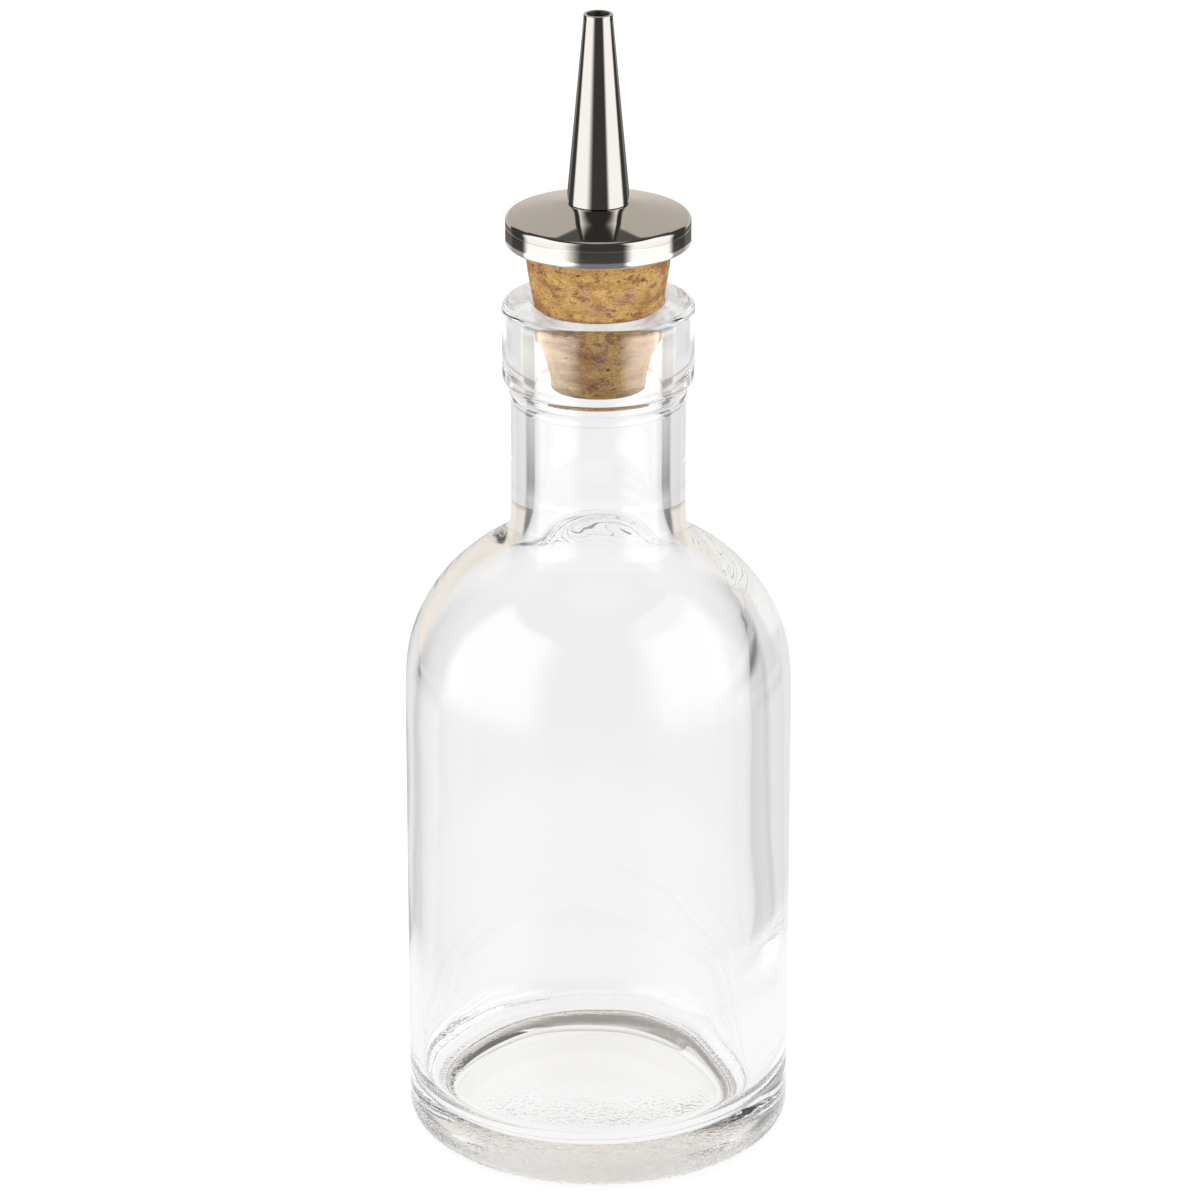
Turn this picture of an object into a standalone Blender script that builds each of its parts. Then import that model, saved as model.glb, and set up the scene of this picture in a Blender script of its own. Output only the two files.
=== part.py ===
"""Oil and vinegar bottle: a clear glass bottle, and a cork that carries a steel pouring spout.

Run with: blender --background --python part.py
Units are metres, +Z is up. The bottle stands on z = 0 and its axis is the Z axis.
"""
import math

import bpy

# Gap between pieces that touch
seat_gap = 0.0003

# Glass bottle, outside
bottle_height = 0.1362
body_radius = 0.0300
body_straight_height = 0.0755
shoulder_rise = 0.0258
shoulder_fillet = 0.0051
neck_radius = 0.0134
heel_radius = 0.0034
bearing_ring_width = 0.0024
push_up_height = 0.0030

# Glass bottle, lip band with the groove and the parting ridge under it
lip_band_height = 0.0132
lip_stand_out = 0.00125
lip_bead_stand_out = 0.00012
lip_bead_height = 0.0036
lip_top_round = 0.0013
groove_height = 0.0010
groove_depth = 0.00045
ridge_height = 0.0016
ridge_stand_out = 0.00020

# Glass bottle, inside
neck_wall = 0.0036
body_wall = 0.0028
mouth_round = 0.0006
inner_fillet = 0.0060
floor_thickness = 0.0048
floor_corner_radius = 0.0060

# Cork
cork_height_above_lip = 0.0091
cork_depth_in_neck = 0.0140
cork_swell_above_lip = 0.0018
cork_taper_in_neck = 0.0021
cork_edge_chamfer = 0.0004

# Cap disc
cap_radius = 0.01408
cap_edge_height = 0.00415
cap_cone_rise = 0.0023
cap_seat_margin = 0.0002
cap_edge_round = 0.00035

# Spout, with a spigot that stands in the cap's bore
spout_length = 0.0289
spout_foot_radius = 0.0048
spout_tip_radius = 0.0022
spout_tip_round = 0.00018
spout_bore_radius = 0.0017
spout_flare_width = 0.00015
spout_flare_height = 0.0006
spigot_radius = 0.0030
spigot_length = 0.0042

# Stem tube, which fills the rest of the cap's bore and grips the cork with its barbs
stem_wall = 0.0010
stem_recess = 0.0020
stem_lead_height = 0.0012
barb_count = 5
barb_stand_out = 0.00045
barb_height = 0.0022
barb_shoulder_height = 0.0002

# Flat stretches of each round shape
glass_sides = 56
steel_sides = 40
cork_sides = 36
tube_sides = 24

# Sizes that follow from the ones above
lip_radius = neck_radius + lip_stand_out
groove_radius = neck_radius - groove_depth
mouth_radius = neck_radius - neck_wall
inner_radius = body_radius - body_wall
cork_mouth_radius = mouth_radius - seat_gap
cork_bottom = bottle_height - cork_depth_in_neck
cork_top = bottle_height + cork_height_above_lip
cork_hole_radius = spigot_radius + barb_stand_out + seat_gap
cap_under = cork_top + seat_gap
cap_edge_top = cap_under + cap_edge_height
cap_seat = cap_edge_top + cap_cone_rise
cap_bore_radius = spigot_radius + seat_gap
spout_foot = cap_seat + seat_gap
spout_tip = spout_foot + spout_length
spigot_end = spout_foot - spigot_length
stem_top = spigot_end - seat_gap
stem_bottom = cork_bottom + stem_recess


def arc(centre, radius, start, end, steps):
    """Points along an arc, angles in degrees; a pair of radii (across, up) makes it elliptical."""
    across, up = radius if isinstance(radius, tuple) else (radius, radius)
    points = []
    for step in range(steps + 1):
        angle = math.radians(start + (end - start) * step / steps)
        points.append((centre[0] + across * math.cos(angle), centre[1] + up * math.sin(angle)))
    return points


def shoulder(across, up, wall, fillet, fillet_steps, dome_steps):
    """A vertical neck wall, a hollow fillet and a quarter-ellipse dome, from the neck down."""
    low, high = 0.0, math.pi / 2
    for _ in range(60):
        middle = (low + high) / 2
        slope = math.atan2(math.sin(middle) / up, math.cos(middle) / across)
        if across * math.cos(middle) + fillet * math.cos(slope) > wall + fillet:
            low = middle
        else:
            high = middle
    fillet_height = body_straight_height + up * math.sin(middle) + fillet * math.sin(slope)
    fillet_centre = (wall + fillet, fillet_height)
    points = arc(fillet_centre, fillet, 180, 180 + math.degrees(slope), fillet_steps)
    dome = arc((0, body_straight_height), (across, up), math.degrees(middle), 0, dome_steps)
    return points + dome[1:]


def glass_profile():
    """From the middle of the inner floor, up inside, over the lip and down outside to the axis."""
    floor_edge = inner_radius - floor_corner_radius
    floor = []
    for step in range(8):
        share = step / 7
        rise = push_up_height * (1 + math.cos(math.pi * share)) / 2
        floor.append((floor_edge * share, floor_thickness + rise))
    corner = arc((floor_edge, floor_thickness + floor_corner_radius), floor_corner_radius, -90, 0, 4)
    inner_rise = shoulder_rise - body_wall
    inner_shoulder = shoulder(inner_radius, inner_rise, mouth_radius, inner_fillet, 4, 9)
    mouth_centre = (mouth_radius + mouth_round, bottle_height - mouth_round)
    mouth = arc(mouth_centre, mouth_round, 180, 90, 2)

    bead_radius = lip_radius + lip_bead_stand_out
    lip_bottom = bottle_height - lip_band_height
    lip_top = arc((bead_radius - lip_top_round, bottle_height - lip_top_round), lip_top_round, 90, 0, 4)
    lip_lower_round = lip_radius - groove_radius
    lip_lower = arc((groove_radius, lip_bottom + lip_lower_round), lip_lower_round, 0, -90, 4)
    ridge_top = lip_bottom - groove_height
    ridge_centre = (neck_radius, ridge_top - ridge_height / 2)
    ridge = arc(ridge_centre, (ridge_stand_out, ridge_height / 2), 90, -90, 4)
    outer_shoulder = shoulder(body_radius, shoulder_rise, neck_radius, shoulder_fillet, 5, 12)
    heel = arc((body_radius - heel_radius, heel_radius), heel_radius, 0, -90, 5)
    ring_inside = body_radius - heel_radius - bearing_ring_width
    push_up = arc((0, 0), (ring_inside, push_up_height), 0, 90, 7)
    push_up[-1] = (0, push_up_height)
    return [
        *floor, *corner[1:], *reversed(inner_shoulder), *mouth,
        *lip_top, (lip_radius, bottle_height - lip_bead_height), *lip_lower,
        (groove_radius, ridge_top), *ridge, *outer_shoulder, *heel, *push_up,
    ]


def cork_profile():
    """The taper widens quickly above the lip, where the cork is no longer squeezed."""
    swollen = []
    for step in range(6):
        share = step / 5
        swell = cork_swell_above_lip * (1 - share * share)
        swollen.append((cork_mouth_radius + swell, cork_top - cork_height_above_lip * share))
    widest, foot = swollen[0][0], cork_mouth_radius - cork_taper_in_neck
    swollen[0] = (widest, cork_top - cork_edge_chamfer)
    return [
        (cork_hole_radius, cork_top), (widest - cork_edge_chamfer, cork_top), *swollen,
        (foot, cork_bottom + cork_edge_chamfer), (foot - cork_edge_chamfer, cork_bottom),
        (cork_hole_radius, cork_bottom),
    ]


def cap_profile():
    """A flat seat for the spout, a shallow cone, a small round and the upright edge."""
    lean = math.degrees(math.atan2(cap_cone_rise, cap_radius - spout_foot_radius))
    rounded = cap_radius - cap_edge_round
    return [
        (cap_bore_radius, cap_seat), (spout_foot_radius + cap_seat_margin, cap_seat),
        *arc((rounded, cap_edge_top - cap_edge_round), cap_edge_round, 90 - lean, 0, 4),
        *arc((rounded, cap_under + cap_edge_round), cap_edge_round, 0, -90, 4),
        (cap_bore_radius, cap_under),
    ]


def spout_profile():
    """A straight taper from the rounded tip to a slightly flared foot, then the spigot."""
    flare_top = spout_foot + spout_flare_height
    neck = spout_foot_radius - spout_flare_width
    tip = arc((spout_tip_radius - spout_tip_round, spout_tip - spout_tip_round), spout_tip_round, 90, 0, 4)
    flare = arc((spout_foot_radius, flare_top), (spout_flare_width, spout_flare_height), 180, 270, 4)
    flare[0] = (neck, flare_top)
    return [
        (spout_bore_radius, spout_tip), *tip, *flare,
        (spigot_radius, spout_foot), (spigot_radius, spigot_end), (spout_bore_radius, spigot_end),
    ]


def stem_profile():
    """A tube with saw-tooth barbs whose shoulders face up, so that the cork can't slip down."""
    bore = spigot_radius - stem_wall
    barbs = []
    pitch = (cork_top - stem_bottom - stem_lead_height) / barb_count
    for index in range(barb_count):
        shoulder_height = cork_top - pitch * (index + 1) + barb_height
        barbs += [
            (spigot_radius, shoulder_height),
            (spigot_radius + barb_stand_out, shoulder_height - barb_shoulder_height),
            (spigot_radius, shoulder_height - barb_height),
        ]
    lead_radius = spigot_radius - stem_wall / 2
    return [
        (bore, stem_top), (spigot_radius, stem_top), *barbs,
        (spigot_radius, stem_bottom + stem_lead_height), (lead_radius, stem_bottom), (bore, stem_bottom),
    ]


def material(name, colour, roughness, metallic, transmission=0.0):
    made = bpy.data.materials.new(name)
    made.use_nodes = True
    made.diffuse_color = (*colour, 1.0)
    shader = made.node_tree.nodes["Principled BSDF"]
    shader.inputs["Base Color"].default_value = (*colour, 1.0)
    shader.inputs["Roughness"].default_value = roughness
    shader.inputs["Metallic"].default_value = metallic
    shader.inputs["Transmission Weight"].default_value = transmission
    return made


def turned(name, profile, sides, finish, collection, parent):
    """Turn a profile of (radius, height) points about Z; its outer side runs from top to bottom."""
    mesh = bpy.data.meshes.new(name)
    edges = [(index, index + 1) for index in range(len(profile) - 1)]
    reaches_axis = profile[0][0] == 0
    if not reaches_axis:
        edges.append((len(profile) - 1, 0))
    mesh.from_pydata([(radius, 0, height) for radius, height in profile], edges, [])
    piece = bpy.data.objects.new(name, mesh)
    collection.objects.link(piece)
    screw = piece.modifiers.new("Turn", "SCREW")
    screw.axis = "Z"
    screw.angle = math.tau
    screw.steps = sides
    screw.render_steps = sides
    screw.use_merge_vertices = True
    screw.merge_threshold = 0.00001
    graph = bpy.context.evaluated_depsgraph_get()
    solid = bpy.data.meshes.new_from_object(piece.evaluated_get(graph))
    piece.modifiers.remove(screw)
    piece.data = solid
    bpy.data.meshes.remove(mesh)
    solid.name = name
    solid.shade_smooth()
    solid.set_sharp_from_angle(angle=math.radians(35))
    solid.materials.clear()
    solid.materials.append(finish)
    piece.parent = parent
    return piece


def empty(name, height, collection, parent=None):
    made = bpy.data.objects.new(name, None)
    made.empty_display_size = body_radius
    made.location.z = height
    made.parent = parent
    collection.objects.link(made)
    return made


def main():
    for old in list(bpy.data.objects):
        bpy.data.objects.remove(old, do_unlink=True)
    collection = bpy.data.collections.new("oil_and_vinegar_bottle")
    bpy.context.scene.collection.children.link(collection)

    glass = material("clear_glass", (0.93, 0.96, 0.95), 0.02, 0.0, transmission=1.0)
    cork = material("cork", (0.56, 0.34, 0.14), 0.85, 0.0)
    polished = material("polished_steel", (0.72, 0.70, 0.67), 0.12, 1.0)
    brushed = material("brushed_steel", (0.66, 0.64, 0.62), 0.30, 1.0)

    bottle = empty("bottle", 0, collection)
    stopper = empty("stopper", 0, collection, bottle)
    turned("glass_bottle", glass_profile(), glass_sides, glass, collection, bottle)
    turned("cork_stopper", cork_profile(), cork_sides, cork, collection, stopper)
    turned("cap_disc", cap_profile(), steel_sides, brushed, collection, stopper)
    turned("spout_cone", spout_profile(), steel_sides, polished, collection, stopper)
    turned("stem_tube", stem_profile(), tube_sides, brushed, collection, stopper)


main()
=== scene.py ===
# Oil and vinegar bottle: clear glass, cork stopper and steel pouring spout.
# Sizes are in millimetres; each mesh is scaled to metres when it is finished.
import math

import bmesh
import bpy
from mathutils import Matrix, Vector, noise


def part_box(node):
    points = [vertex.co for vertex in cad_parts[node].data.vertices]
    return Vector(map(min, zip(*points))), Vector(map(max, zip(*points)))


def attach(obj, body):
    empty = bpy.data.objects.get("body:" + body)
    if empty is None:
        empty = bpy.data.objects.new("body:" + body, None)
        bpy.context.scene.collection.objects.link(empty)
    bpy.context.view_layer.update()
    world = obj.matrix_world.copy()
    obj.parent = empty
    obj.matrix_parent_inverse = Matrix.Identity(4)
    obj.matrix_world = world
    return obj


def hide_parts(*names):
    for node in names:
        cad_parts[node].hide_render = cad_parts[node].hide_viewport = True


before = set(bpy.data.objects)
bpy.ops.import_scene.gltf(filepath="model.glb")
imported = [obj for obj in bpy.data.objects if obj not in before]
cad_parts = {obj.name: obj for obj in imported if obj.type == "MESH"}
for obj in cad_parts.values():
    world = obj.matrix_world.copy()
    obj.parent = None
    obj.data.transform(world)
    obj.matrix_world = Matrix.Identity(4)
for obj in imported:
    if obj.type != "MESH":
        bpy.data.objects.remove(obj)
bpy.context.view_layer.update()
mm = 0.001
tiny = 1e-6
print("frame loaded:", len(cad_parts), "nodes")


def boxInMm(node):
    low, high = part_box(node)
    return low / mm, high / mm


# Profiles: lists of (radius, height), turned about Z

def arc(centre, radius, start, end, steps):
    # part of a circle, or of an ellipse where the radius is a pair
    across, up = radius if isinstance(radius, tuple) else (radius, radius)
    points = []
    for step in range(steps + 1):
        angle = math.radians(start + (end - start) * step / steps)
        points.append((centre[0] + across * math.cos(angle), centre[1] + up * math.sin(angle)))
    return points


def between(table, place):
    # straight-line reading of a (place, value) table
    for (low, first), (high, second) in zip(table, table[1:]):
        if place <= high:
            part = max(0.0, (place - low) / (high - low))
            return first + (second - first) * part
    return table[-1][1]


def smooth(value, low, high):
    part = min(1.0, max(0.0, (value - low) / (high - low)))
    return part * part * (3 - 2 * part)


def spaced(profile, gap):
    # adds points along the straight runs, so that a surface can carry small waves
    points = [profile[0]]
    for here, there in zip(profile, profile[1:]):
        length = math.dist(here, there)
        if length < tiny:
            continue
        pieces = max(1, math.ceil(length / gap))
        for step in range(1, pieces + 1):
            part = step / pieces
            points.append(tuple(a + (b - a) * part for a, b in zip(here, there)))
    return points


creaseAngle = 40


def turnedPiece(name, profile, sides, closed=True, shape=None):
    # turns the profile about Z; shape(point, row) may move the points of each profile row
    turns = [math.tau * side / sides for side in range(sides)]
    points, rings = [], []
    for row, (radius, height) in enumerate(profile):
        if radius < tiny:
            ring = [Vector((0, 0, height))]
        else:
            ring = [Vector((radius * math.cos(turn), radius * math.sin(turn), height)) for turn in turns]
        rings.append([len(points) + side % len(ring) for side in range(sides)])
        points += [shape(point, row) for point in ring] if shape else ring
    faces = []
    pairs = list(zip(rings, rings[1:])) + ([(rings[-1], rings[0])] if closed else [])
    for lower, upper in pairs:
        for side in range(sides):
            after = (side + 1) % sides
            corners = [lower[side], lower[after], upper[after], upper[side]]
            faces.append(list(dict.fromkeys(corners)))
    mesh = bpy.data.meshes.new(name)
    mesh.from_pydata([point * mm for point in points], [], faces)
    bm = bmesh.new()
    bm.from_mesh(mesh)
    bmesh.ops.recalc_face_normals(bm, faces=bm.faces)
    bm.to_mesh(mesh)
    bm.free()
    mesh.shade_smooth()
    mesh.set_sharp_from_angle(angle=math.radians(creaseAngle))
    piece = bpy.data.objects.new(name, mesh)
    bpy.context.scene.collection.objects.link(piece)
    return piece


def finishPiece(piece, body, node, finish):
    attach(piece, body)
    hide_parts(node)
    piece.data.materials.clear()
    piece.data.materials.append(finish)


# Node helpers; an amount, height or value may be a number or another node's output

white = (1.0, 1.0, 1.0)


def newMaterial(name):
    material = bpy.data.materials.new(name)
    material.use_nodes = True
    return material, material.node_tree, material.node_tree.nodes["Principled BSDF"]


def addNode(tree, kind, **settings):
    node = tree.nodes.new(kind)
    for key, value in settings.items():
        setattr(node, key, value)
    return node


def feed(tree, target, value):
    if hasattr(value, "is_output"):
        tree.links.new(value, target)
    else:
        target.default_value = value


def mathNode(tree, operation, first, second=0.0, third=0.0):
    node = addNode(tree, "ShaderNodeMath", operation=operation)
    for target, value in zip(node.inputs, (first, second, third)):
        feed(tree, target, value)
    return node.outputs[0]


def product(tree, *values):
    result = values[0]
    for value in values[1:]:
        result = mathNode(tree, "MULTIPLY", result, value)
    return result


def either(tree, amount, first, second):
    # first where the amount is 0, second where it is 1
    rest = mathNode(tree, "SUBTRACT", 1.0, amount)
    return mathNode(tree, "ADD", product(tree, second, amount), product(tree, first, rest))


def stepNode(tree, value, low, high, bottom=0.0, top=1.0):
    # a soft step from bottom to top as the value goes from low to high
    node = addNode(tree, "ShaderNodeMapRange", interpolation_type="SMOOTHSTEP")
    for target, source in zip(node.inputs, (value, low, high, bottom, top)):
        feed(tree, target, source)
    return node.outputs[0]


def edgeNode(tree, value, middle, soft, bottom=0.0, top=1.0):
    return stepNode(tree, value, middle - soft, middle + soft, bottom, top)


def levelsNode(tree, value, table):
    # soft steps through a (value, level) table
    level = table[0][1]
    for (low, first), (high, second) in zip(table, table[1:]):
        if first != second:
            level = mathNode(tree, "ADD", level, stepNode(tree, value, low, high, 0.0, second - first))
    return level


def splitNode(tree, where):
    node = addNode(tree, "ShaderNodeSeparateXYZ")
    feed(tree, node.inputs[0], where)
    return node.outputs


def objectPlace(tree):
    return addNode(tree, "ShaderNodeTexCoord").outputs["Object"]


def stretched(tree, scale):
    # object coordinates, scaled by axis, so that a texture runs along one of them
    node = addNode(tree, "ShaderNodeMapping")
    feed(tree, node.inputs["Vector"], objectPlace(tree))
    node.inputs["Scale"].default_value = scale
    return node.outputs[0]


def fromAxis(tree, x, y):
    squares = [mathNode(tree, "POWER", side, 2.0) for side in (x, y)]
    return mathNode(tree, "SQRT", mathNode(tree, "ADD", *squares))


def mixColours(tree, amount, first, second, blend="MIX"):
    node = addNode(tree, "ShaderNodeMix", data_type="RGBA", blend_type=blend)
    feed(tree, node.inputs[0], amount)
    for target, colour in ((node.inputs[6], first), (node.inputs[7], second)):
        feed(tree, target, colour if hasattr(colour, "is_output") else (*colour, 1))
    return node.outputs[2]


def noiseNode(tree, where, scale, detail=3.0, roughness=0.55):
    node = addNode(tree, "ShaderNodeTexNoise")
    feed(tree, node.inputs["Vector"], where)
    for key, value in (("Scale", scale), ("Detail", detail), ("Roughness", roughness)):
        node.inputs[key].default_value = value
    return node.outputs["Fac"]


def bumpNode(tree, height, strength, depth):
    node = addNode(tree, "ShaderNodeBump")
    node.inputs["Distance"].default_value = depth
    feed(tree, node.inputs["Strength"], strength)
    feed(tree, node.inputs["Height"], height)
    return node.outputs[0]


# Camera

view = {
    "lens": 177.2,
    "distance": 850.8,
    "height": 422.6,
    "aside": 0.26,
    "downDegrees": 21.508,
    "clipNear": 0.05,  # metres, as the next one
    "clipFar": 50,
}

cameraData = bpy.data.cameras.new("camera")
cameraData.lens = view["lens"]
cameraData.clip_start = view["clipNear"]
cameraData.clip_end = view["clipFar"]
camera = bpy.data.objects.new("camera", cameraData)
camera.location = Vector((view["aside"], -view["distance"], view["height"])) * mm
camera.rotation_euler = (math.radians(90 - view["downDegrees"]), 0, 0)
bpy.context.scene.collection.objects.link(camera)
bpy.context.scene.camera = camera
bpy.context.scene.view_settings.view_transform = "Standard"
print("camera set")


# Studio: soft boxes left and right, a warm backdrop that darkens upward, a dark front.
# Angles are degrees round from the camera's side, or up from level.

studio = {
    "leftFrom": 34.0, "leftSoft": 14.0,
    "rightFrom": 38.0, "rightSoft": 8.0,
    "boxTo": 102.0, "boxEndSoft": 6.0,
    "boxHigh": 50.0, "boxHighSoft": 3.0,
    "boxLight": 1.4, "boxUpperLight": 1.5, "levelSoft": 4.0,
    "backFrom": 135.0, "backSoft": 5.0,
    "backLevels": [(-16, 0.1), (-9, 0.68), (0, 0.68), (18, 0.58), (41.2, 0.58), (42.4, 0.06)],
    "backTint": (1.0, 0.935, 0.85),
    "topLevels": [(66, 0.0), (82, 0.5)],
    "dark": 0.06,
    "darkInGlass": 0.2,  # what reflections inside the glass see of the dark side
    "through": 0.97, "throughHigh": 0.35, "throughFade": (15, 60),
    "plainLight": 1.35,
    "bounces": 24,
}


def directionAngles(tree, vector):
    # degrees round from the camera side, degrees up, and whether it is on the left
    x, y, z = splitNode(tree, vector)
    turn = mathNode(tree, "ARCTAN2", x, mathNode(tree, "MULTIPLY", y, -1.0))
    around = mathNode(tree, "DEGREES", mathNode(tree, "ABSOLUTE", turn))
    up = mathNode(tree, "DEGREES", mathNode(tree, "ARCSINE", z))
    return around, up, mathNode(tree, "LESS_THAN", x, 0.0)


def boxSpan(tree, around, left):
    # 1 where a soft box stands, with a softer inner edge on the left
    starts = []
    for side in ("right", "left"):
        starts.append(edgeNode(tree, around, studio[side + "From"], studio[side + "Soft"]))
    end = edgeNode(tree, around, studio["boxTo"], studio["boxEndSoft"], 1.0, 0.0)
    return product(tree, either(tree, left, *starts), end)


def anyPast(tree, depth):
    # 1 once a light path has been bent or mirrored at all
    return mathNode(tree, "GREATER_THAN", depth, 0.5)


def buildWorld():
    world = bpy.data.worlds.new("studio")
    world.use_nodes = True
    bpy.context.scene.world = world
    tree = world.node_tree
    tree.nodes.clear()
    around, up, left = directionAngles(tree, addNode(tree, "ShaderNodeTexCoord").outputs["Generated"])
    path = addNode(tree, "ShaderNodeLightPath").outputs

    tall = edgeNode(tree, up, studio["boxHigh"], studio["boxHighSoft"], 1.0, 0.0)
    light = edgeNode(tree, up, 0.0, studio["levelSoft"], studio["boxLight"], studio["boxUpperLight"])
    boxes = product(tree, boxSpan(tree, around, left), tall, light)
    behind = edgeNode(tree, around, studio["backFrom"], studio["backSoft"])
    back = product(tree, levelsNode(tree, up, studio["backLevels"]), behind)
    top = levelsNode(tree, up, studio["topLevels"])
    dark = either(tree, anyPast(tree, path["Transmission Depth"]), studio["dark"], studio["darkInGlass"])
    reflected = mathNode(tree, "ADD", mathNode(tree, "ADD", boxes, back), mathNode(tree, "ADD", top, dark))

    # looking straight through the glass shows the white backdrop from any side
    mirrored = anyPast(tree, path["Glossy Depth"])
    through = stepNode(tree, up, *studio["throughFade"], studio["through"], studio["throughHigh"])
    level = either(tree, mirrored, through, reflected)
    for ray, strength in (("Is Diffuse Ray", studio["plainLight"]), ("Is Camera Ray", 1.0)):
        level = either(tree, path[ray], level, strength)
    tint = mixColours(tree, product(tree, behind, mirrored), white, studio["backTint"])
    background = addNode(tree, "ShaderNodeBackground")
    feed(tree, background.inputs["Color"], tint)
    feed(tree, background.inputs["Strength"], level)
    output = addNode(tree, "ShaderNodeOutputWorld")
    tree.links.new(background.outputs[0], output.inputs[0])


# Floor: plain and pale. Metal and glass see a bright patch round the bottle, a greyer ring and a
# bright strip beyond it. Distances are metres from the bottle's axis, the levels are light levels.

floorLook = {
    "radius": 6.0,
    "sides": 96,
    "drop": 0.00005,
    "colour": 0.14,
    "glow": 0.91,
    "bounce": 0.45,
    "close": 0.95, "closeFade": (0.072, 0.092),
    "front": 0.3,
    "sideLevels": [(0.2, 0.47), (0.36, 1.3)],
    "back": 0.8, "backSoft": 6.0,
    "gapFade": (100, 106),  # degrees: a dark gap between the soft boxes and the backdrop
    "gapLevels": [(0.22, 0.7), (0.27, 0.16), (0.348, 0.55), (0.36, 0.5)],
    "stripFrom": 0.352, "stripTo": 0.43, "stripSoft": 0.008,
    "stripLevels": [(0.352, 1.8), (0.4, 4.6)],
    "stripFacing": (0.71, 0.75),  # the strip is seen only from above, as from the lip
    "stripTint": (1.0, 0.9, 0.78),
    "end": 0.437, "endSoft": 0.005,
}


def floorSeen(tree, where, distance):
    # the level that metal and glass see, and how much of it is the strip
    around, _, left = directionAngles(tree, where)
    beside = boxSpan(tree, around, left)
    behind = edgeNode(tree, around, studio["backFrom"], floorLook["backSoft"])
    level = either(tree, beside, floorLook["front"], levelsNode(tree, distance, floorLook["sideLevels"]))
    level = either(tree, behind, level, floorLook["back"])
    gap = mathNode(tree, "SUBTRACT", stepNode(tree, around, *floorLook["gapFade"]), behind)
    level = either(tree, gap, level, levelsNode(tree, distance, floorLook["gapLevels"]))
    close = stepNode(tree, distance, *floorLook["closeFade"], 1.0, 0.0)
    level = either(tree, close, level, floorLook["close"])

    facing = addNode(tree, "ShaderNodeLayerWeight").outputs["Facing"]
    strip = product(
        tree, beside,
        edgeNode(tree, distance, floorLook["stripFrom"], floorLook["stripSoft"]),
        edgeNode(tree, distance, floorLook["stripTo"], floorLook["stripSoft"], 1.0, 0.0),
        stepNode(tree, facing, *floorLook["stripFacing"], 1.0, 0.0))
    bright = levelsNode(tree, distance, floorLook["stripLevels"])
    return mathNode(tree, "MULTIPLY_ADD", strip, bright, level), strip


def mixShaders(tree, amount, first, second):
    node = addNode(tree, "ShaderNodeMixShader")
    feed(tree, node.inputs[0], amount)
    tree.links.new(first, node.inputs[1])
    tree.links.new(second, node.inputs[2])
    return node.outputs[0]


def paleFloor():
    material = bpy.data.materials.new("paleFloor")
    material.use_nodes = True
    tree = material.node_tree
    tree.nodes.clear()
    path = addNode(tree, "ShaderNodeLightPath").outputs
    diffuse = addNode(tree, "ShaderNodeBsdfDiffuse")
    diffuse.inputs["Color"].default_value = (*[floorLook["colour"]] * 3, 1)
    glow = addNode(tree, "ShaderNodeEmission")
    bounce = product(tree, path["Is Diffuse Ray"], floorLook["bounce"])
    feed(tree, glow.inputs["Strength"], mathNode(
        tree, "MULTIPLY_ADD", path["Is Camera Ray"], floorLook["glow"], bounce))
    direct = addNode(tree, "ShaderNodeAddShader")
    tree.links.new(diffuse.outputs[0], direct.inputs[0])
    tree.links.new(glow.outputs[0], direct.inputs[1])

    where = objectPlace(tree)
    length = addNode(tree, "ShaderNodeVectorMath", operation="LENGTH")
    feed(tree, length.inputs[0], where)
    distance = length.outputs["Value"]
    level, strip = floorSeen(tree, where, distance)
    mirrored = anyPast(tree, path["Glossy Depth"])
    seen = addNode(tree, "ShaderNodeEmission")
    feed(tree, seen.inputs["Color"], mixColours(tree, strip, white, floorLook["stripTint"]))
    feed(tree, seen.inputs["Strength"], either(tree, mirrored, studio["through"], level))
    beyond = product(tree, mirrored, edgeNode(tree, distance, floorLook["end"], floorLook["endSoft"]))
    clear = addNode(tree, "ShaderNodeBsdfTransparent")
    patch = mixShaders(tree, beyond, seen.outputs[0], clear.outputs[0])
    indirect = mathNode(tree, "MAXIMUM", path["Is Glossy Ray"], path["Is Transmission Ray"])
    output = addNode(tree, "ShaderNodeOutputMaterial")
    tree.links.new(mixShaders(tree, indirect, direct.outputs[0], patch), output.inputs[0])
    return material


def buildFloor():
    bpy.ops.mesh.primitive_circle_add(
        vertices=floorLook["sides"], radius=floorLook["radius"], fill_type="NGON")
    floor = bpy.context.object
    floor.name = "floor"
    floor.location.z = -floorLook["drop"]
    floor.data.materials.append(paleFloor())


buildWorld()
buildFloor()
for limit in ("max_bounces", "glossy_bounces", "transmission_bounces"):
    setattr(bpy.context.scene.cycles, limit, studio["bounces"])
print("studio built")


# Steel finish, for the cap, the spout and the stem

steelLook = {
    "colour": (0.64, 0.61, 0.573),
    # the bore's dark colour is painted shade inside the spout's bore
    "boreShadeColour": (0.2, 0.18, 0.165),
    "boreRoughness": 0.45,
    "boreEdge": 0.03,
    "turningDepth": 0.004,
    "turningDetail": 2.0,
    "cloudScale": 260.0,
    "polish": 0.25,
    "polishEdge": 0.05,
}


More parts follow.
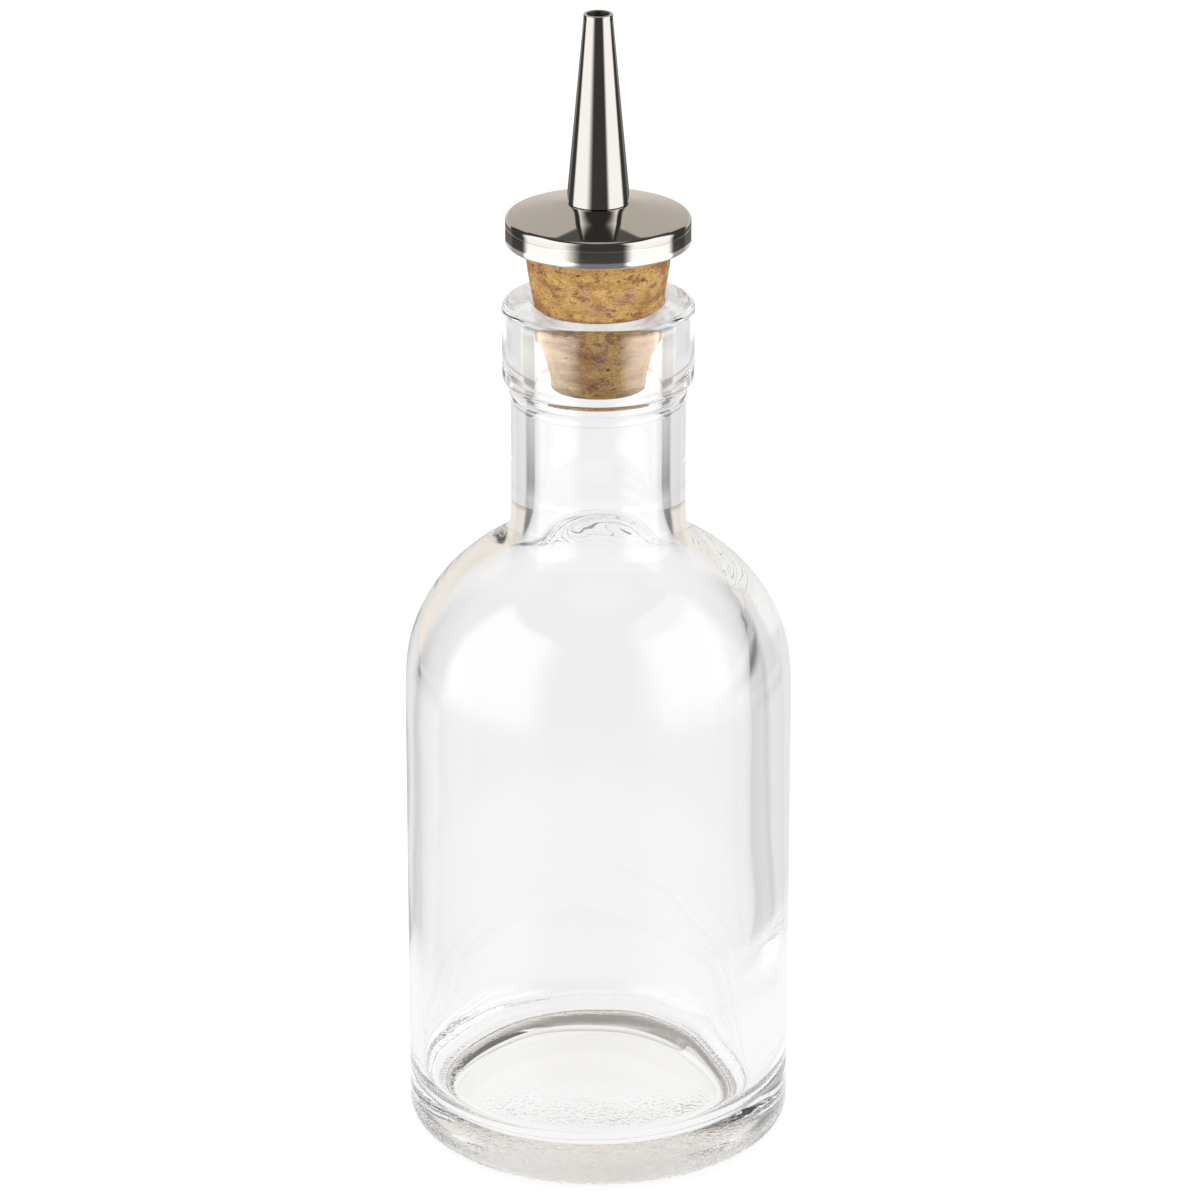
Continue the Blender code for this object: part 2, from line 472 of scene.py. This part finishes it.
def steel(name, piece, polishedAbove=None, shadedBoreRadius=None):
    # turned steel with fine rings round the axis; above a height it is polished, inside a radius it is
    # rougher and painted dark as shade in the bore
    material, tree, shader = newMaterial(name)
    shader.inputs["Metallic"].default_value = 1.0
    where = objectPlace(tree)
    x, y, z = splitNode(tree, where)
    across = fromAxis(tree, x, y)
    rings = addNode(tree, "ShaderNodeCombineXYZ")
    feed(tree, rings.inputs[0], across)
    feed(tree, rings.inputs[2], z)
    spacing = piece["turningSpacing"] * mm
    lines = noiseNode(tree, rings.outputs[0], 1 / spacing, steelLook["turningDetail"])
    cloud = noiseNode(tree, where, steelLook["cloudScale"])
    half = piece["roughness"] * 0.5
    rough = mathNode(tree, "MULTIPLY_ADD", mathNode(tree, "ADD", lines, cloud), half, half)
    strength = piece["turningStrength"]
    if polishedAbove:
        polished = edgeNode(tree, z, polishedAbove * mm, steelLook["polishEdge"] * mm)
        less = either(tree, polished, 1.0, steelLook["polish"])
        rough = product(tree, rough, less)
        strength = product(tree, less, strength)
    colour = (*steelLook["colour"], 1)
    # inside the bore radius: painted shade, a dark colour where the bore lies in shadow, and rougher steel
    if shadedBoreRadius:
        inside = edgeNode(tree, across, shadedBoreRadius * mm, steelLook["boreEdge"] * mm, 1.0, 0.0)
        colour = mixColours(tree, inside, steelLook["colour"], steelLook["boreShadeColour"])
        rough = mathNode(tree, "MAXIMUM", rough, product(tree, inside, steelLook["boreRoughness"]))
    feed(tree, shader.inputs["Base Color"], colour)
    feed(tree, shader.inputs["Roughness"], rough)
    feed(tree, shader.inputs["Normal"], bumpNode(tree, lines, strength, steelLook["turningDepth"] * mm))
    return material


# Glass bottle

bottle = {
    "straightHeight": 75.5,
    "shoulderRise": 25.8,
    "shoulderFillet": 4.2,
    "shoulderSteps": 42,
    "filletSteps": 12,
    "neckRadius": 13.4,
    "neckWall": 3.6,
    "bodyWall": 2.8,
    "heelRadius": 3.4,
    "ringWidth": 2.4,
    "pushUp": 3.0,
    "pushUpSteps": 24,
    "lipHeight": 13.2,
    "lipStandOut": 1.25,
    "beadStandOut": 0.05,
    "beadHeight": 3.6,
    "lipTopRound": 1.0,
    "lipTopDrop": 0.08,
    "lipTopSteps": 12,
    "lipUnderRound": 1.7,
    "grooveHeight": 1.0,
    "grooveDepth": 0.45,
    "ridgeHeight": 1.6,
    "ridgeStandOut": 0.2,
    "mouthRound": 0.6,
    "mouthSteps": 8,
    "roundSteps": 16,
    "innerFillet": 9.0,
    "domeAcross": 26.0,
    "domeRise": 3.0,
    "domeFrom": 5.0,
    "domeSteps": 26,
    "moatRound": 4.4,
    "moatSteps": 14,
    "softBottom": 60,
    "insideSoftTop": 22,  # below the mouth
    "outsideSoftTop": 20,
    "insideSoft": [(60, 9.0), (110, 7.6)],  # height, and how far round a point the line is softened
    "outsideSoft": [(84, 9.0), (98, 5.0), (110, 5.0)],
    "softStep": 1.1,
    "leftInside": 27.5,
    "rightInside": 24.7,
    "swells": [(38.0, 8.0, 0.45), (19.5, 9.0, -0.4)],  # height, spread and size
    "evenAbove": 110.0, "evenFade": 34.0,
    "wallFade": (15, 22),
    "leftWave": 0.112,
    "rightWave": 0.042,
    "waveScale": 0.06,
    "waveLayers": (1.0, 2.0, 2),  # fall-off, fineness and count of the noise's layers
    "floorFadeUp": (9, 18),
    "floorFadeOut": (22, 28),
    "floorLean": 0.03,
    "floorWave": 0.15,
    "floorWaveScale": 0.07,
    "floorWaveShift": (3, 1, 0),
    "sides": 240,
    "gap": 1.5,
}

glassLook = {
    "refraction": 1.51,
    "satinFrom": 136.0,
    "satinEdge": 0.1,
    "satin": 0.22,
    "pebbleSize": 0.7,
    "pebbleDepth": 0.15,
    "pebbleDetail": 1.0,
    "ringPebbles": 0.6,
    "ringUp": (3.2, 4.4),
    "ringAcross": (20.9, 22.1),
    "floorPebbles": 1.0,
    "floorBack": (-16, -2),
    "floorUp": (9, 10),
    "floorAcross": (19, 21),
}


def fade(tree, value, span, bottom=1.0, top=0.0):
    # a soft step over a span in millimetres, by itself from 1 down to 0
    low, high = span
    return stepNode(tree, value, low * mm, high * mm, bottom, top)


def clearGlass():
    # polished glass with a satin lip, a pebbled bearing ring and pebbles on the front of its floor
    material, tree, shader = newMaterial("clearGlass")
    shader.inputs["Base Color"].default_value = (*white, 1)
    shader.inputs["IOR"].default_value = glassLook["refraction"]
    shader.inputs["Transmission Weight"].default_value = 1.0
    where = objectPlace(tree)
    x, y, z = splitNode(tree, where)
    across = fromAxis(tree, x, y)
    satinRise = (glassLook["satinFrom"], glassLook["satinFrom"] + glassLook["satinEdge"])
    feed(tree, shader.inputs["Roughness"], fade(tree, z, satinRise, 0.0, glassLook["satin"]))

    ring = product(
        tree, fade(tree, z, glassLook["ringUp"]),
        fade(tree, across, glassLook["ringAcross"], 0.0, 1.0))
    front = product(
        tree, fade(tree, y, glassLook["floorBack"], glassLook["floorPebbles"], 0.0),
        fade(tree, z, glassLook["floorUp"]), fade(tree, across, glassLook["floorAcross"]))
    strength = mathNode(tree, "MULTIPLY_ADD", ring, glassLook["ringPebbles"], front)
    pebbles = noiseNode(tree, where, 1 / (glassLook["pebbleSize"] * mm), glassLook["pebbleDetail"])
    feed(tree, shader.inputs["Normal"], bumpNode(tree, pebbles, strength, glassLook["pebbleDepth"] * mm))
    return material


halvings = 60


def touchAngle(across, up, fillet, reach):
    # where a fillet whose centre is at that reach touches a quarter ellipse; also the slope there
    low, high = 0.0, math.pi / 2
    for _ in range(halvings):
        middle = (low + high) / 2
        slope = math.atan2(math.sin(middle) / up, math.cos(middle) / across)
        if across * math.cos(middle) + fillet * math.cos(slope) > reach:
            low = middle
        else:
            high = middle
    return middle, slope


def shoulderLine(across, up, wall, fillet):
    # hollow fillet on the neck's wall and quarter ellipse, from the neck down
    start = bottle["straightHeight"]
    touch, slope = touchAngle(across, up, fillet, wall + fillet)
    centre = (wall + fillet, start + up * math.sin(touch) + fillet * math.sin(slope))
    points = arc(centre, fillet, 180, 180 + math.degrees(slope), bottle["filletSteps"])
    return points + arc((0, start), (across, up), math.degrees(touch), 0, bottle["shoulderSteps"])[1:]


def domeLine(across, up, start, wall, fillet):
    # pushed-up floor: dome, then a hollow round into the wall, from the middle out
    touch, slope = touchAngle(across, up, fillet, wall - fillet)
    dome = arc((0, start), (across, up), 90, math.degrees(touch), bottle["domeSteps"])
    dome[0] = (0, start + up)
    centre = (wall - fillet, start + up * math.sin(touch) + fillet * math.sin(slope))
    return dome + arc(centre, fillet, 180 + math.degrees(slope), 360, bottle["moatSteps"])[1:]


def softened(line, reaches):
    # rounds the line's curvature steps, keeping its two ends; the reach depends on the height
    step = bottle["softStep"]
    line = spaced(line, step)
    soft = []
    for index in range(len(line)):
        near = min(round(between(reaches, line[index][1]) / step), index, len(line) - 1 - index)
        weights = [(near + 1 - abs(offset), line[index + offset]) for offset in range(-near, near + 1)]
        total = sum(weight for weight, _ in weights)
        soft.append(tuple(sum(weight * spot[axis] for weight, spot in weights) / total for axis in (0, 1)))
    return soft


def insideLine(radius, top):
    # floor, wall, shoulder, neck and the rounded edge of the mouth
    mouth, mouthRound = bottle["neckRadius"] - bottle["neckWall"], bottle["mouthRound"]
    floorLine = domeLine(
        bottle["domeAcross"], bottle["domeRise"], bottle["domeFrom"], radius, bottle["moatRound"])
    wall = shoulderLine(radius, bottle["shoulderRise"] - bottle["bodyWall"], mouth, bottle["innerFillet"])
    wall = [(mouth, top - bottle["insideSoftTop"]), *wall, (radius, bottle["softBottom"])]
    edge = arc((mouth + mouthRound, top - mouthRound), mouthRound, 180, 90, bottle["mouthSteps"])
    return [*floorLine, *reversed(softened(wall, bottle["insideSoft"])), *edge]


def lipLine(start, top):
    # lip band from the mouth's edge out and down, with the groove and the parting ridge under it
    neck, steps = bottle["neckRadius"], bottle["lipTopSteps"]
    lip = neck + bottle["lipStandOut"]
    drop, edge = bottle["lipTopDrop"], bottle["lipTopRound"]
    end = lip + bottle["beadStandOut"] - edge
    line = []
    for step in range(1, steps):
        part = step / steps
        line.append((start + (end - start) * part, top - drop * part ** 2))
    slope = math.degrees(math.atan(2 * drop / (end - start)))
    line += arc((end, top - drop - edge), edge, 90 - slope, 0, steps)
    line.append((lip, top - bottle["beadHeight"]))
    bottom, under = top - bottle["lipHeight"], bottle["lipUnderRound"]
    line += arc((lip - under, bottom + under), under, 0, -90, bottle["roundSteps"])
    ridgeTop, half = bottom - bottle["grooveHeight"], bottle["ridgeHeight"] / 2
    line += [(neck - bottle["grooveDepth"], height) for height in (bottom, ridgeTop)]
    return line + arc((neck, ridgeTop - half), (bottle["ridgeStandOut"], half), 90, -90, steps)


def outsideLine(radius, top):
    # neck, shoulder, wall, heel, bearing ring and the pushed-up base
    neck, heel = bottle["neckRadius"], bottle["heelRadius"]
    wall = shoulderLine(radius, bottle["shoulderRise"], neck, bottle["shoulderFillet"])
    wall = [(neck, top - bottle["outsideSoftTop"]), *wall, (radius, bottle["softBottom"])]
    heelLine = arc((radius - heel, heel), heel, 0, -90, bottle["roundSteps"])
    ringInside = radius - heel - bottle["ringWidth"]
    pushUp = arc((0, 0), (ringInside, bottle["pushUp"]), 0, 90, bottle["pushUpSteps"])
    pushUp[-1] = (0, bottle["pushUp"])
    return [*softened(wall, bottle["outsideSoft"]), *heelLine, *pushUp]


def unevenInside(point, insideRadius):
    # pressed glass: the right wall is thicker, the inside is a little wavy and the floor leans forward
    radius = math.hypot(point.x, point.y)
    if radius < tiny or point.z > bottle["evenAbove"]:
        return point
    body = 1 - smooth(point.z, bottle["evenAbove"] - bottle["evenFade"], bottle["evenAbove"])
    uneven = body * smooth(radius, *bottle["wallFade"])
    right = (1 + point.x / radius) / 2
    swell = 0.0
    for height, spread, size in bottle["swells"]:
        swell += size * math.exp(-((point.z - height) / spread) ** 2)
    wanted = (bottle["rightInside"] + swell) * right + bottle["leftInside"] * (1 - right)
    wave = bottle["rightWave"] * right + bottle["leftWave"] * (1 - right)
    wave *= noise.fractal(point * bottle["waveScale"], *bottle["waveLayers"])
    scale = 1 + (wanted / insideRadius - 1 + wave / radius) * uneven
    onFloor = (1 - smooth(point.z, *bottle["floorFadeUp"])) * (1 - smooth(radius, *bottle["floorFadeOut"]))
    ripple = noise.noise(point * bottle["floorWaveScale"] + Vector(bottle["floorWaveShift"]))
    lift = (point.y * bottle["floorLean"] + ripple * bottle["floorWave"]) * onFloor
    return Vector((point.x * scale, point.y * scale, point.z + lift))


def buildBottle():
    high = boxInMm("glass_bottle")[1]
    top, insideRadius = high.z, high.x - bottle["bodyWall"]
    inside = insideLine(insideRadius, top)
    outside = [inside[-1], *lipLine(inside[-1][0], top), *outsideLine(high.x, top)]
    inside, outside = [spaced(line, bottle["gap"]) for line in (inside, outside)]

    def shape(point, row):
        return unevenInside(point, insideRadius) if row < len(inside) else point

    piece = turnedPiece("clearBottle", inside + outside[1:], bottle["sides"], closed=False, shape=shape)
    finishPiece(piece, "bottle", "glass_bottle", clearGlass())


buildBottle()
print("bottle built")


# Cork

cork = {
    "mouthTop": 136.2,
    "hole": 3.75,
    "bottomRadius": 7.25,
    "bottomUp": 1.1,
    "bottomRound": 0.5,
    "bottomSteps": 6,
    "line": [  # height and radius, up to the stretch that the mouth grips
        (122.9, 7.2), (125.2, 7.35), (127.0, 7.8), (128.0, 8.05), (129.0, 8.3),
        (130.0, 8.65), (130.9, 9.05), (131.8, 9.5), (132.6, 9.66), (133.4, 9.72),
    ],
    "lineSteps": 24,
    "mouthRadius": 9.82,
    "gripDepth": 1.6,  # this and the next two are measured down from the mouth's top
    "gripTop": 0.3,
    "gripShort": 0.15,
    "gripSoft": 0.4,
    "gripHalfAngle": 72.0,
    "gripTurn": 6.0,
    "mouthGap": 0.09,
    "swellOut": 0.08,
    "swellUp": 0.1,
    "swellPower": 1.4,
    "swellSteps": 16,
    "topRadius": 11.15,
    "topEdge": 0.3,
    "topGap": 0.04,
    "skinBeyond": 5.0,
    "skinFade": 1.2,
    "skinScale": 1.6,
    "skinLayers": (1.0, 2.1, 3),
    "skinDepth": 0.08,
    "pitScale": 0.9,
    "pitShift": (7, 3, 1),
    "pitFrom": 0.42,
    "pitDepth": 0.88,
    "sides": 180,
    "gap": 0.3,
}

corkLook = {
    "tan": (0.66, 0.36, 0.115),
    "yellow": (0.80, 0.50, 0.17), "yellowFade": (0.36, 0.62),
    "warm": (0.47, 0.22, 0.075), "warmFade": (0.46, 0.64), "warmth": 0.85,
    "pink": (0.62, 0.36, 0.22), "pinkFade": (0.54, 0.68), "pinkness": 0.6,
    "grainFade": (0.3, 0.7), "grainShade": (0.66, 1.24), "grainRelief": 0.35,
    "relief": 0.6, "reliefDepth": 0.12, "roughness": 0.82,
    "crack": (0.2, 0.08, 0.03), "crackShade": 0.85,
    "crackWidth": (0.004, 0.06), "crackFade": (0.48, 0.6), "crackStrength": 0.85,
    "pitFade": (0.63, 0.7), "pitStrength": 0.8,
    "pore": (0.07, 0.025, 0.012), "poreSpacing": 1.5, "poreSize": (0.08, 0.2), "poreShare": (0.74, 0.78),
    "warpScale": 450.0, "warpDetail": 3.0,
    "poreStretch": 0.75, "poreWarp": 0.5,
}

# the cork's noises: sideways scale, warp in millimetres, then scale, detail and roughness
corkNoises = {
    "layers": (0.3, 1.2, 850.0, 4.0, 0.6),
    "patches": (0.6, 1.5, 320.0, 3.0, 0.55),
    "blush": (1.0, 0.0, 260.0, 2.0, 0.55),
    "grain": (0.7, 0.0, 4200.0, 3.0, 0.7),
    "cracks": (0.4, 0.9, 700.0, 4.0, 0.65),
    "weak": (1.0, 0.0, 520.0, 3.0, 0.6),
    "pits": (0.6, 0.8, 1500.0, 2.0, 0.5),
}


def corkFinish():
    # pressed cork: lying layers, warmer and yellower patches, short cracks and a few open pores
    material, tree, shader = newMaterial("cork")
    warp = addNode(tree, "ShaderNodeTexNoise")
    feed(tree, warp.inputs["Vector"], objectPlace(tree))
    warp.inputs["Scale"].default_value = corkLook["warpScale"]
    warp.inputs["Detail"].default_value = corkLook["warpDetail"]

    def warped(sideways, amount):
        # object coordinates, scaled sideways and warped by some millimetres
        node = addNode(tree, "ShaderNodeVectorMath", operation="MULTIPLY_ADD")
        feed(tree, node.inputs[0], warp.outputs["Color"])
        node.inputs[1].default_value = [amount * mm] * 3
        feed(tree, node.inputs[2], stretched(tree, (sideways, sideways, 1.0)))
        return node.outputs[0]

    def corkNoise(kind):
        sideways, amount, *grains = corkNoises[kind]
        return noiseNode(tree, warped(sideways, amount), *grains)

    yellowed = stepNode(tree, corkNoise("layers"), *corkLook["yellowFade"])
    warmed = stepNode(tree, corkNoise("patches"), *corkLook["warmFade"], 0.0, corkLook["warmth"])
    blushed = stepNode(tree, corkNoise("blush"), *corkLook["pinkFade"], 0.0, corkLook["pinkness"])
    grain = corkNoise("grain")
    shade = stepNode(tree, grain, *corkLook["grainFade"], *corkLook["grainShade"])
    grey = addNode(tree, "ShaderNodeCombineXYZ")
    for target in grey.inputs:
        feed(tree, target, shade)
    colour = mixColours(tree, yellowed, corkLook["tan"], corkLook["yellow"])
    colour = mixColours(tree, warmed, colour, corkLook["warm"])
    colour = mixColours(tree, blushed, colour, corkLook["pink"])
    colour = mixColours(tree, 1.0, colour, grey.outputs[0], "MULTIPLY")

    # cracks follow the lines where a noise is halfway, in weak places only
    ridge = mathNode(tree, "ABSOLUTE", mathNode(tree, "SUBTRACT", corkNoise("cracks"), 0.5))
    weak = stepNode(tree, corkNoise("weak"), *corkLook["crackFade"], 0.0, corkLook["crackStrength"])
    cracks = product(tree, stepNode(tree, ridge, *corkLook["crackWidth"], 1.0, 0.0), weak)
    pits = stepNode(tree, corkNoise("pits"), *corkLook["pitFade"], 0.0, corkLook["pitStrength"])
    cracks = mathNode(tree, "MAXIMUM", cracks, pits)
    colour = mixColours(tree, product(tree, cracks, corkLook["crackShade"]), colour, corkLook["crack"])

    spots = addNode(tree, "ShaderNodeTexVoronoi")
    feed(tree, spots.inputs["Vector"], warped(corkLook["poreStretch"], corkLook["poreWarp"]))
    spots.inputs["Scale"].default_value = 1 / (corkLook["poreSpacing"] * mm)
    chosen = addNode(tree, "ShaderNodeSeparateColor")
    feed(tree, chosen.inputs[0], spots.outputs["Color"])
    pores = product(
        tree, stepNode(tree, spots.outputs["Distance"], *corkLook["poreSize"], 1.0, 0.0),
        stepNode(tree, chosen.outputs[2], *corkLook["poreShare"]))
    colour = mixColours(tree, pores, colour, corkLook["pore"])
    feed(tree, shader.inputs["Base Color"], colour)
    shader.inputs["Roughness"].default_value = corkLook["roughness"]
    holes = mathNode(tree, "MAXIMUM", cracks, pores)
    height = mathNode(tree, "SUBTRACT", product(tree, grain, corkLook["grainRelief"]), holes)
    relief = bumpNode(tree, height, corkLook["relief"], corkLook["reliefDepth"] * mm)
    feed(tree, shader.inputs["Normal"], relief)
    return material


def corkProfile():
    hole, edge, mouthTop = cork["hole"], cork["bottomRound"], cork["mouthTop"]
    bottom = boxInMm("cork_stopper")[0].z + cork["bottomUp"]
    top = boxInMm("cap_disc")[0].z - cork["topGap"]
    points = [(hole, bottom)]
    points += arc((cork["bottomRadius"] - edge, bottom + edge), edge, -90, 0, cork["bottomSteps"])
    # taper up to the stretch in the mouth, then the swell above the lip
    gripEnd = mouthTop - cork["gripDepth"]
    lineStart, lineEnd = bottom + edge, gripEnd - cork["gripSoft"]
    for step in range(1, cork["lineSteps"] + 1):
        height = lineStart + (lineEnd - lineStart) * step / cork["lineSteps"]
        points.append((between(cork["line"], height), height))
    points += [(cork["mouthRadius"], height) for height in (gripEnd, mouthTop - cork["gripTop"])]
    swellStart, swellEnd = mouthTop + cork["swellUp"], top - cork["topEdge"]
    start = cork["mouthRadius"] + cork["swellOut"]
    for step in range(cork["swellSteps"] + 1):
        part = step / cork["swellSteps"]
        radius = start + (cork["topRadius"] - start) * (1 - (1 - part) ** cork["swellPower"])
        points.append((radius, swellStart + (swellEnd - swellStart) * part))
    return points + [(cork["topRadius"] - cork["topEdge"], top), (hole, top)]


def corkSkin(point, _):
    # small hollows and a slightly rough skin; at the front the mouth's glass presses on the cork
    radius = math.hypot(point.x, point.y)
    if radius < cork["skinBeyond"]:
        return point
    above = point.z - cork["mouthTop"]
    outOfGrip = max(-cork["gripDepth"] - above, above + cork["gripShort"], 0.0)
    skin = noise.fractal(point * cork["skinScale"], *cork["skinLayers"])
    pit = noise.noise(point * cork["pitScale"] + Vector(cork["pitShift"])) - cork["pitFrom"]
    inward = min(0.0, skin) * cork["skinDepth"] - max(0.0, pit) * cork["pitDepth"]
    inward *= min(1.0, outOfGrip / cork["skinFade"])
    if outOfGrip < cork["gripSoft"]:
        aside = math.degrees(math.atan2(abs(point.x), -point.y)) - cork["gripHalfAngle"]
        free = min(1.0, max(0.0, aside / cork["gripTurn"]))
        inward -= cork["mouthGap"] * free * (1 - outOfGrip / cork["gripSoft"])
    scale = 1 + inward / radius
    return Vector((point.x * scale, point.y * scale, point.z))


def buildCork():
    profile = spaced(corkProfile(), cork["gap"])
    piece = turnedPiece("corkStopper", profile, cork["sides"], shape=corkSkin)
    finishPiece(piece, "stopper", "cork_stopper", corkFinish())


buildCork()
print("cork built")


# Cap disc

cap = {
    "bore": 3.3,
    "lowerEdgeRound": 0.3,
    "lowerEdgeSteps": 6,
    "seatRadius": 4.4,
    "slopes": [(4.4, 14.5), (8.6, 12.3), (13.4, 14.2)],  # radius, and degrees down
    "crownSteps": 48,
    "rimStart": 13.4,
    "rimSteps": 16,
    "grooveHeight": 2.95,
    "grooveDepth": 0.07,
    "grooveWidth": 0.16,
    "grooveFloor": (0.7, 0.3),
    "roughness": 0.08,
    "turningSpacing": 0.09,
    "turningStrength": 0.14,
    "sides": 192,
    "gap": 1.2,
}


def crownLine(seatHeight):
    # the top is a shallow cone, a little flatter halfway out
    seat = cap["seatRadius"]
    stride = (cap["rimStart"] - seat) / cap["crownSteps"]
    points = [(seat, seatHeight)]
    for _ in range(cap["crownSteps"]):
        radius, height = points[-1]
        slope = math.radians(between(cap["slopes"], radius))
        points.append((radius + stride, height - math.tan(slope) * stride))
    return points


def capProfile(groove):
    low, high = boxInMm("cap_disc")
    radius, edge = high.x, cap["lowerEdgeRound"]
    crown = crownLine(high.z)
    rimSlope = math.radians(cap["slopes"][-1][1])
    roll = (radius - cap["rimStart"]) / (1 - math.sin(rimSlope))
    centre = (radius - roll, crown[-1][1] - roll * math.cos(rimSlope))
    rim = arc(centre, roll, 90 - math.degrees(rimSlope), 0, cap["rimSteps"])[1:]
    width = cap["grooveWidth"]
    grooveLine = [(radius - cap["grooveDepth"], groove - width * part) for part in cap["grooveFloor"]]
    return [
        (cap["bore"], low.z), *arc((radius - edge, low.z + edge), edge, -90, 0, cap["lowerEdgeSteps"]),
        (radius, groove - width), *grooveLine, (radius, groove),
        *reversed(rim), *reversed(crown), (cap["bore"], high.z),
    ]


def buildCap():
    groove = boxInMm("cap_disc")[0].z + cap["grooveHeight"]
    piece = turnedPiece("capDisc", spaced(capProfile(groove), cap["gap"]), cap["sides"])
    finish = steel("turnedSteel", cap, polishedAbove=groove)
    finishPiece(piece, "stopper", "cap_disc", finish)


buildCap()
print("cap built")


# Pouring spout

spout = {
    "spigot": 3.0,
    "bore": 1.7,
    # radius inside which the steel is painted dark as shade in the bore
    "shadedBoreRadius": 1.75,
    "tipRadius": 2.2,
    "tipRound": 0.12,
    "tipOuterSteps": 8,
    "tipInnerSteps": 6,
    "flareWidth": 0.04,
    "flareHeight": 0.5,
    "footGap": 0.012,
    "footRound": 0.08,
    "taperSteps": 24,
    "roughness": 0.05,
    "turningSpacing": 0.12,
    "turningStrength": 0.12,
    "sides": 128,
    "gap": 1.0,
}


def spoutProfile():
    low, high = boxInMm("spout_cone")
    tip, footRadius = high.z, high.x
    foot = boxInMm("cap_disc")[1].z + spout["footGap"]
    bore, tipRound, footRound = spout["bore"], spout["tipRound"], spout["footRound"]
    taper = [(footRadius - footRound, foot)]
    taperStart, taperEnd = foot + footRound, tip - spout["flareHeight"]
    for step in range(spout["taperSteps"] + 1):
        part = step / spout["taperSteps"]
        radius = footRadius + (spout["tipRadius"] - footRadius) * part
        taper.append((radius, taperStart + (taperEnd - taperStart) * part))
    flare = spout["tipRadius"] + spout["flareWidth"]
    outer = arc((flare - tipRound, tip - tipRound), tipRound, 0, 90, spout["tipOuterSteps"])
    inner = arc((bore + tipRound, tip - tipRound), tipRound, 90, 180, spout["tipInnerSteps"])
    return [(bore, low.z), (spout["spigot"], low.z), (spout["spigot"], foot), *taper, *outer, *inner]


def buildSpout():
    piece = turnedPiece("spoutCone", spaced(spoutProfile(), spout["gap"]), spout["sides"])
    finish = steel("polishedSteel", spout, shadedBoreRadius=spout["shadedBoreRadius"])
    finishPiece(piece, "stopper", "spout_cone", finish)


buildSpout()
print("spout built")


# Stem tube: it keeps its own shape

stem = {
    "roughness": 0.2,
    "turningSpacing": 0.12,
    "turningStrength": 0.3,
}

stemFinish = steel("stemSteel", stem)
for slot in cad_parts["stem_tube"].material_slots:
    slot.material = stemFinish
print("stem finished")
